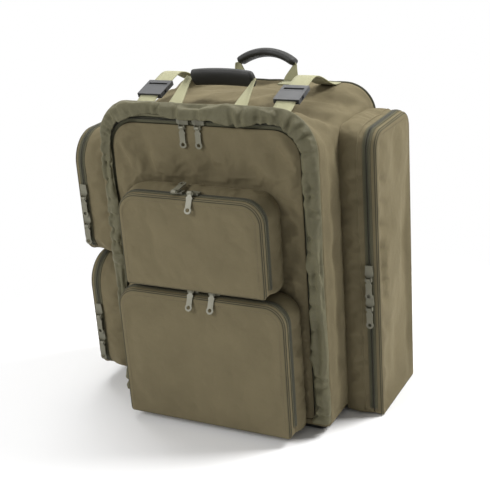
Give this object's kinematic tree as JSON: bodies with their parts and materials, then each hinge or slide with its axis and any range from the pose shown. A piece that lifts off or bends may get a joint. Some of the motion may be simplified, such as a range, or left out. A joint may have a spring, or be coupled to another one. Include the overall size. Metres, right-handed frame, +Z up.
{
  "type": "tackle backpack",
  "caption": "Boxy padded rucksack for fishing tackle, with a zipped front panel, zipped pockets on the front and sides, carry handles and buckled straps over the top.",
  "frame": {"origin": "centre of the main compartment's footprint, on the ground", "axes": "+Z up, -Y towards the front of the bag, +X towards its single tall side pocket"},
  "size_m": [0.608, 0.4567, 0.6627],
  "materials": {
    "bag_fabric": "woven matte",
    "cover_fabric": "thin woven matte",
    "pad_fabric": "padded mesh",
    "base_fabric": "coated",
    "zip_tape": "woven with moulded teeth",
    "webbing": "woven webbing",
    "dark_webbing": "woven webbing",
    "grip_rubber": "matte",
    "buckle_plastic": "satin",
    "board_plastic": "plain",
    "zip_metal": "satin painted"
  },
  "bodies": {
    "bag": {"main_shell": "bag_fabric", "base_guard": "base_fabric", "stiffener_boards": "board_plastic", "zip_cover": "cover_fabric", "body_zip_tapes": "zip_tape", "handle_tabs": "webbing", "left_upper_gusset": "bag_fabric", "left_lower_gusset": "bag_fabric", "right_gusset": "bag_fabric", "back_pad": "pad_fabric", "shoulder_pads": "pad_fabric", "shoulder_webbing": "dark_webbing", "ladder_locks": "buckle_plastic", "strap_front_webbing": "webbing", "buckle_sockets": "buckle_plastic", "strap_rear_webbing": "webbing"},
    "panel": {"front_panel": "bag_fabric", "panel_zip_tapes": "zip_tape", "upper_gusset": "bag_fabric", "lower_gusset": "bag_fabric"},
    "front_handle": {"front_handle_webbing": "webbing", "front_handle_grip": "grip_rubber"},
    "rear_handle": {"rear_handle_webbing": "webbing", "rear_handle_grip": "grip_rubber"},
    "upper_lid": {"upper_lid": "bag_fabric", "upper_lid_zip_tape": "zip_tape"},
    "lower_lid": {"lower_lid": "bag_fabric", "lower_lid_zip_tape": "zip_tape"},
    "left_upper_lid": {"left_upper_lid": "bag_fabric", "left_upper_lid_zip_tape": "zip_tape"},
    "left_lower_lid": {"left_lower_lid": "bag_fabric", "left_lower_lid_zip_tape": "zip_tape"},
    "right_lid": {"right_lid": "bag_fabric", "right_lid_zip_tape": "zip_tape"},
    "left_buckle": {"left_buckle_prong": "buckle_plastic"},
    "right_buckle": {"right_buckle_prong": "buckle_plastic"},
    "main_slider_left": {"main_slider_left": "zip_metal"},
    "main_pull_left": {"main_pull_left": "zip_metal"},
    "main_slider_right": {"main_slider_right": "zip_metal"},
    "main_pull_right": {"main_pull_right": "zip_metal"},
    "upper_slider_left": {"upper_slider_left": "zip_metal"},
    "upper_pull_left": {"upper_pull_left": "zip_metal"},
    "upper_slider_right": {"upper_slider_right": "zip_metal"},
    "upper_pull_right": {"upper_pull_right": "zip_metal"},
    "lower_slider_left": {"lower_slider_left": "zip_metal"},
    "lower_pull_left": {"lower_pull_left": "zip_metal"},
    "lower_slider_right": {"lower_slider_right": "zip_metal"},
    "lower_pull_right": {"lower_pull_right": "zip_metal"},
    "left_upper_slider_low": {"left_upper_slider_low": "zip_metal"},
    "left_upper_pull_low": {"left_upper_pull_low": "zip_metal"},
    "left_upper_slider_top": {"left_upper_slider_top": "zip_metal"},
    "left_upper_pull_top": {"left_upper_pull_top": "zip_metal"},
    "left_lower_slider_low": {"left_lower_slider_low": "zip_metal"},
    "left_lower_pull_low": {"left_lower_pull_low": "zip_metal"},
    "left_lower_slider_top": {"left_lower_slider_top": "zip_metal"},
    "left_lower_pull_top": {"left_lower_pull_top": "zip_metal"},
    "right_slider_low": {"right_slider_low": "zip_metal"},
    "right_pull_low": {"right_pull_low": "zip_metal"},
    "right_slider_top": {"right_slider_top": "zip_metal"},
    "right_pull_top": {"right_pull_top": "zip_metal"}
  },
  "joints": [
    {"name": "panel_fold", "type": "hinge", "parent": "bag", "child": "panel", "pos_m": [0, -0.155, 0.016], "axis": [1, 0, 0], "range_deg": [0, 90]},
    {"name": "upper_lid_fold", "type": "hinge", "parent": "panel", "child": "upper_lid", "pos_m": [0, -0.231, 0.294], "axis": [1, 0, 0], "range_deg": [0, 90]},
    {"name": "lower_lid_fold", "type": "hinge", "parent": "panel", "child": "lower_lid", "pos_m": [0, -0.223, 0.016], "axis": [1, 0, 0], "range_deg": [0, 90]},
    {"name": "left_upper_lid_fold", "type": "hinge", "parent": "bag", "child": "left_upper_lid", "pos_m": [-0.315, -0.004, 0.29], "axis": [0, -1, 0], "range_deg": [0, 90]},
    {"name": "left_lower_lid_fold", "type": "hinge", "parent": "bag", "child": "left_lower_lid", "pos_m": [-0.315, -0.004, 0.032], "axis": [0, -1, 0], "range_deg": [0, 90]},
    {"name": "right_lid_fold", "type": "hinge", "parent": "bag", "child": "right_lid", "pos_m": [0.293, 0.032, 0.002], "axis": [0, 1, 0], "range_deg": [0, 90]},
    {"name": "front_handle_swing", "type": "hinge", "parent": "bag", "child": "front_handle", "pos_m": [0, -0.14, 0.6015], "axis": [1, 0, 0], "range_deg": [0, 80]},
    {"name": "rear_handle_swing", "type": "hinge", "parent": "bag", "child": "rear_handle", "pos_m": [0, 0.121, 0.6015], "axis": [1, 0, 0], "range_deg": [-40, 60]},
    {"name": "left_buckle_release", "type": "slide", "parent": "bag", "child": "left_buckle", "axis": [0, 0.9563, 0.2924], "range_m": [0, 0.03]},
    {"name": "right_buckle_release", "type": "slide", "parent": "bag", "child": "right_buckle", "axis": [0, 0.9563, 0.2924], "range_m": [0, 0.03]},
    {"name": "main_zip_left", "type": "slide", "parent": "panel", "child": "main_slider_left", "axis": [1, 0, 0], "range_m": [-0.076, 0]},
    {"name": "main_zip_right", "type": "slide", "parent": "panel", "child": "main_slider_right", "axis": [1, 0, 0], "range_m": [0, 0.115]},
    {"name": "upper_zip_left", "type": "slide", "parent": "upper_lid", "child": "upper_slider_left", "axis": [1, 0, 0], "range_m": [-0.068, 0]},
    {"name": "upper_zip_right", "type": "slide", "parent": "upper_lid", "child": "upper_slider_right", "axis": [1, 0, 0], "range_m": [0, 0.084]},
    {"name": "lower_zip_left", "type": "slide", "parent": "lower_lid", "child": "lower_slider_left", "axis": [1, 0, 0], "range_m": [-0.106, 0]},
    {"name": "lower_zip_right", "type": "slide", "parent": "lower_lid", "child": "lower_slider_right", "axis": [1, 0, 0], "range_m": [0, 0.09]},
    {"name": "left_upper_zip_low", "type": "slide", "parent": "left_upper_lid", "child": "left_upper_slider_low", "axis": [0, 0, 1], "range_m": [-0.024, 0]},
    {"name": "left_upper_zip_top", "type": "slide", "parent": "left_upper_lid", "child": "left_upper_slider_top", "axis": [0, 0, 1], "range_m": [0, 0.036]},
    {"name": "left_lower_zip_low", "type": "slide", "parent": "left_lower_lid", "child": "left_lower_slider_low", "axis": [0, 0, 1], "range_m": [-0.026, 0]},
    {"name": "left_lower_zip_top", "type": "slide", "parent": "left_lower_lid", "child": "left_lower_slider_top", "axis": [0, 0, 1], "range_m": [0, 0.034]},
    {"name": "right_zip_low", "type": "slide", "parent": "right_lid", "child": "right_slider_low", "axis": [0, 0, 1], "range_m": [-0.15, 0]},
    {"name": "right_zip_top", "type": "slide", "parent": "right_lid", "child": "right_slider_top", "axis": [0, 0, 1], "range_m": [0, 0.21]},
    {"name": "main_pull_left_swing", "type": "hinge", "parent": "main_slider_left", "child": "main_pull_left", "pos_m": [-0.036, -0.1587, 0.5762], "axis": [-1, 0, 0], "range_deg": [0, 120]},
    {"name": "main_pull_right_swing", "type": "hinge", "parent": "main_slider_right", "child": "main_pull_right", "pos_m": [-0.004, -0.1587, 0.5762], "axis": [-1, 0, 0], "range_deg": [0, 120]},
    {"name": "upper_pull_left_swing", "type": "hinge", "parent": "upper_slider_left", "child": "upper_pull_left", "pos_m": [-0.024, -0.2248, 0.4787], "axis": [1, 0, 0], "range_deg": [0, 230]},
    {"name": "upper_pull_right_swing", "type": "hinge", "parent": "upper_slider_right", "child": "upper_pull_right", "pos_m": [0.008, -0.2248, 0.4787], "axis": [-1, 0, 0], "range_deg": [0, 150]},
    {"name": "lower_pull_left_swing", "type": "hinge", "parent": "lower_slider_left", "child": "lower_pull_left", "pos_m": [-0.014, -0.2168, 0.2867], "axis": [-1, 0, 0], "range_deg": [0, 80]},
    {"name": "lower_pull_right_swing", "type": "hinge", "parent": "lower_slider_right", "child": "lower_pull_right", "pos_m": [0.03, -0.2168, 0.2867], "axis": [-1, 0, 0], "range_deg": [0, 80]},
    {"name": "left_upper_pull_low_swing", "type": "hinge", "parent": "left_upper_slider_low", "child": "left_upper_pull_low", "pos_m": [-0.297, -0.1207, 0.3512], "axis": [-1, 0, 0], "range_deg": [0, 120]},
    {"name": "left_upper_pull_top_swing", "type": "hinge", "parent": "left_upper_slider_top", "child": "left_upper_pull_top", "pos_m": [-0.297, -0.1207, 0.4092], "axis": [-1, 0, 0], "range_deg": [0, 120]},
    {"name": "left_lower_pull_low_swing", "type": "hinge", "parent": "left_lower_slider_low", "child": "left_lower_pull_low", "pos_m": [-0.297, -0.1207, 0.0952], "axis": [-1, 0, 0], "range_deg": [0, 120]},
    {"name": "left_lower_pull_top_swing", "type": "hinge", "parent": "left_lower_slider_top", "child": "left_lower_pull_top", "pos_m": [-0.297, -0.1207, 0.1532], "axis": [-1, 0, 0], "range_deg": [0, 120]},
    {"name": "right_pull_low_swing", "type": "hinge", "parent": "right_slider_low", "child": "right_pull_low", "pos_m": [0.275, -0.0717, 0.2252], "axis": [-1, 0, 0], "range_deg": [0, 120]},
    {"name": "right_pull_top_swing", "type": "hinge", "parent": "right_slider_top", "child": "right_pull_top", "pos_m": [0.275, -0.0717, 0.2832], "axis": [-1, 0, 0], "range_deg": [0, 120]}
  ]
}
